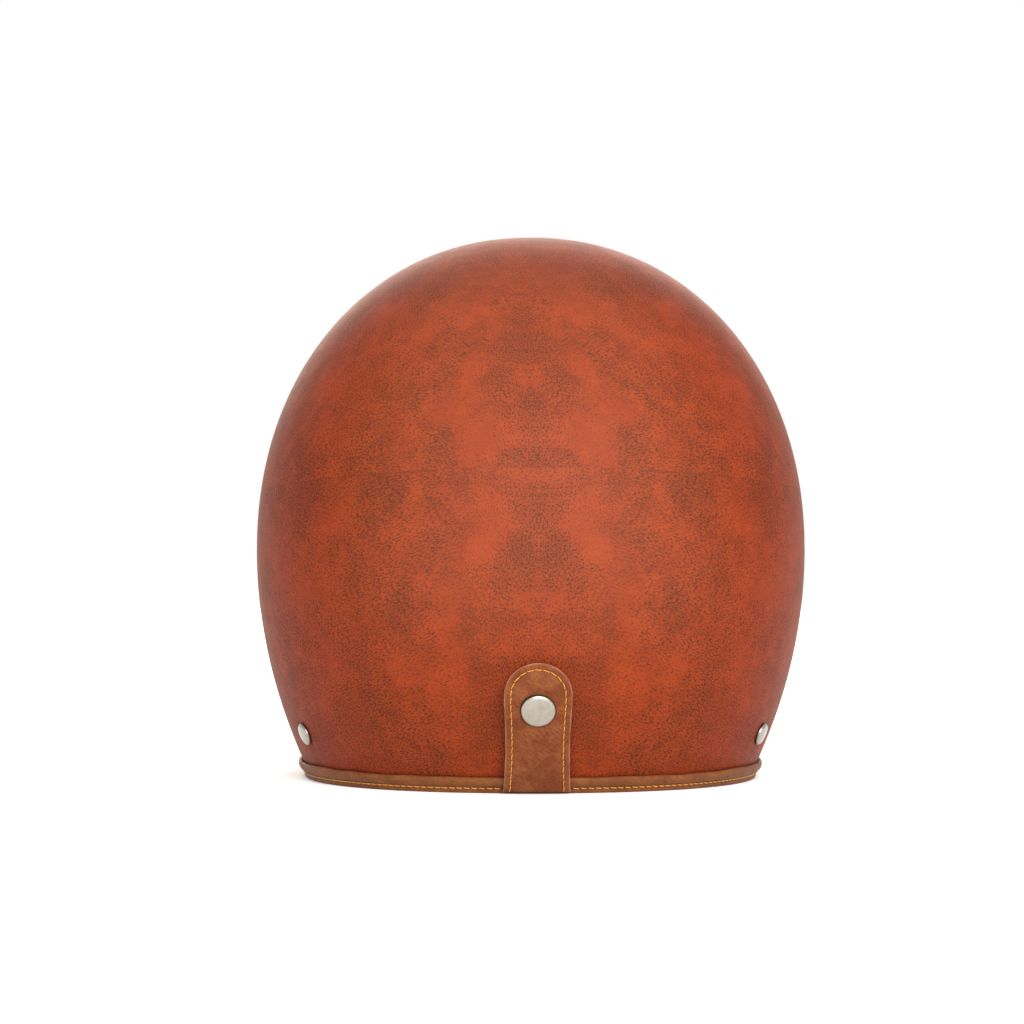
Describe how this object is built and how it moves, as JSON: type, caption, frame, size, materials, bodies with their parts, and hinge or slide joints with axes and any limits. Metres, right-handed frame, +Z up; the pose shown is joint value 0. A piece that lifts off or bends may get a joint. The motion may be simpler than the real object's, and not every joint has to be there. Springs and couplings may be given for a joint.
{
  "type": "open-face motorcycle helmet",
  "caption": "Open-face motorcycle helmet with an edge trim, a padded lining, removable cheek pads, a chin strap with rings and a rear snap tab that holds a goggle strap.",
  "frame": {"origin": "centre of the bounding box at its lowest level, on the surface that the helmet stands on", "axes": "+Z up, -Y towards the face opening, +X towards the wearer's left"},
  "size_m": [0.2478, 0.2838, 0.244],
  "materials": {
    "shell_finish": "satin print that looks like worn red-orange leather, over fibreglass",
    "trim_leather": "brown leather with yellow-orange stitching",
    "impact_foam": "black expanded foam beads",
    "liner_fabric": "dark brown brushed fabric",
    "pad_leather": "soft brown leather",
    "strap_webbing": "black woven webbing",
    "bright_metal": "satin nickel plate",
    "black_plastic": "matt black"
  },
  "bodies": {
    "helmet": {"outer_shell": "shell_finish", "edge_trim": "trim_leather", "impact_liner": "impact_foam", "comfort_liner": "liner_fabric", "neck_roll": "pad_leather", "brow_stud_left": "bright_metal", "brow_stud_centre": "bright_metal", "brow_stud_right": "bright_metal", "brow_washer_left": "bright_metal", "brow_washer_centre": "bright_metal", "brow_washer_right": "bright_metal", "tab_stud": "bright_metal", "tab_washer": "bright_metal", "strap_rivet_left": "bright_metal", "strap_rivet_right": "bright_metal", "strap_spacer_left": "black_plastic", "strap_spacer_right": "black_plastic", "cheek_block_left": "impact_foam", "cheek_block_right": "impact_foam", "cheek_stud_front_left": "black_plastic", "cheek_stud_rear_left": "black_plastic", "cheek_stud_top_left": "black_plastic", "cheek_stud_front_right": "black_plastic", "cheek_stud_rear_right": "black_plastic", "cheek_stud_top_right": "black_plastic"},
    "tab": {"rear_tab": "trim_leather", "tab_cap": "bright_metal", "tab_socket": "bright_metal"},
    "left_anchor": {"anchor_plate_left": "bright_metal", "strap_root_left": "strap_webbing"},
    "right_anchor": {"anchor_plate_right": "bright_metal", "strap_root_right": "strap_webbing"},
    "left_strap": {"short_strap": "strap_webbing"},
    "lower_ring": {"ring_lower": "bright_metal"},
    "upper_ring": {"ring_upper": "bright_metal"},
    "right_strap": {"long_strap": "strap_webbing", "keeper_stud": "bright_metal"},
    "folded_end": {"strap_end": "strap_webbing", "keeper_cap": "bright_metal"},
    "left_cheek_pad": {"cheek_board_left": "black_plastic", "cheek_pad_left": "pad_leather"},
    "right_cheek_pad": {"cheek_board_right": "black_plastic", "cheek_pad_right": "pad_leather"}
  },
  "joints": [
    {"name": "tab_hinge", "type": "hinge", "parent": "helmet", "child": "tab", "pos_m": [0, 0.11188, 0.0017], "axis": [-1, 0, 0], "range_deg": [0, 110]},
    {"name": "left_anchor_swivel", "type": "hinge", "parent": "helmet", "child": "left_anchor", "pos_m": [0.09987, 0.04966, 0.022], "axis": [0.8685, 0.3183, -0.3801], "range_deg": [-8, 8]},
    {"name": "right_anchor_swivel", "type": "hinge", "parent": "helmet", "child": "right_anchor", "pos_m": [-0.09987, 0.04966, 0.022], "axis": [-0.8685, 0.3183, -0.3801], "range_deg": [-8, 8]},
    {"name": "left_strap_hinge", "type": "hinge", "parent": "left_anchor", "child": "left_strap", "pos_m": [0.07935, 0.04214, 0.003], "axis": [-0.3441, 0.9389, 0], "range_deg": [-90, 0]},
    {"name": "right_strap_hinge", "type": "hinge", "parent": "right_anchor", "child": "right_strap", "pos_m": [-0.07935, 0.04214, 0.003], "axis": [-0.3441, -0.9389, 0], "range_deg": [-90, 0]},
    {"name": "lower_ring_hinge", "type": "hinge", "parent": "left_strap", "child": "lower_ring", "pos_m": [0.03765, 0.02686, 0.0037], "axis": [-0.3441, 0.9389, 0], "range_deg": [-60, 0]},
    {"name": "upper_ring_hinge", "type": "hinge", "parent": "left_strap", "child": "upper_ring", "pos_m": [0.03765, 0.02686, 0.007], "axis": [-0.3441, 0.9389, 0], "range_deg": [0, 110]},
    {"name": "strap_end_fold", "type": "hinge", "parent": "right_strap", "child": "folded_end", "pos_m": [0.0005, 0.01288, 0.00315], "axis": [0.3441, 0.9389, 0], "range_deg": [0, 155]},
    {"name": "left_cheek_pad_slide", "type": "slide", "parent": "helmet", "child": "left_cheek_pad", "axis": [-0.9645, 0.0523, 0.2588], "range_m": [0, 0.015]},
    {"name": "right_cheek_pad_slide", "type": "slide", "parent": "helmet", "child": "right_cheek_pad", "axis": [0.9645, 0.0523, 0.2588], "range_m": [0, 0.015]}
  ]
}
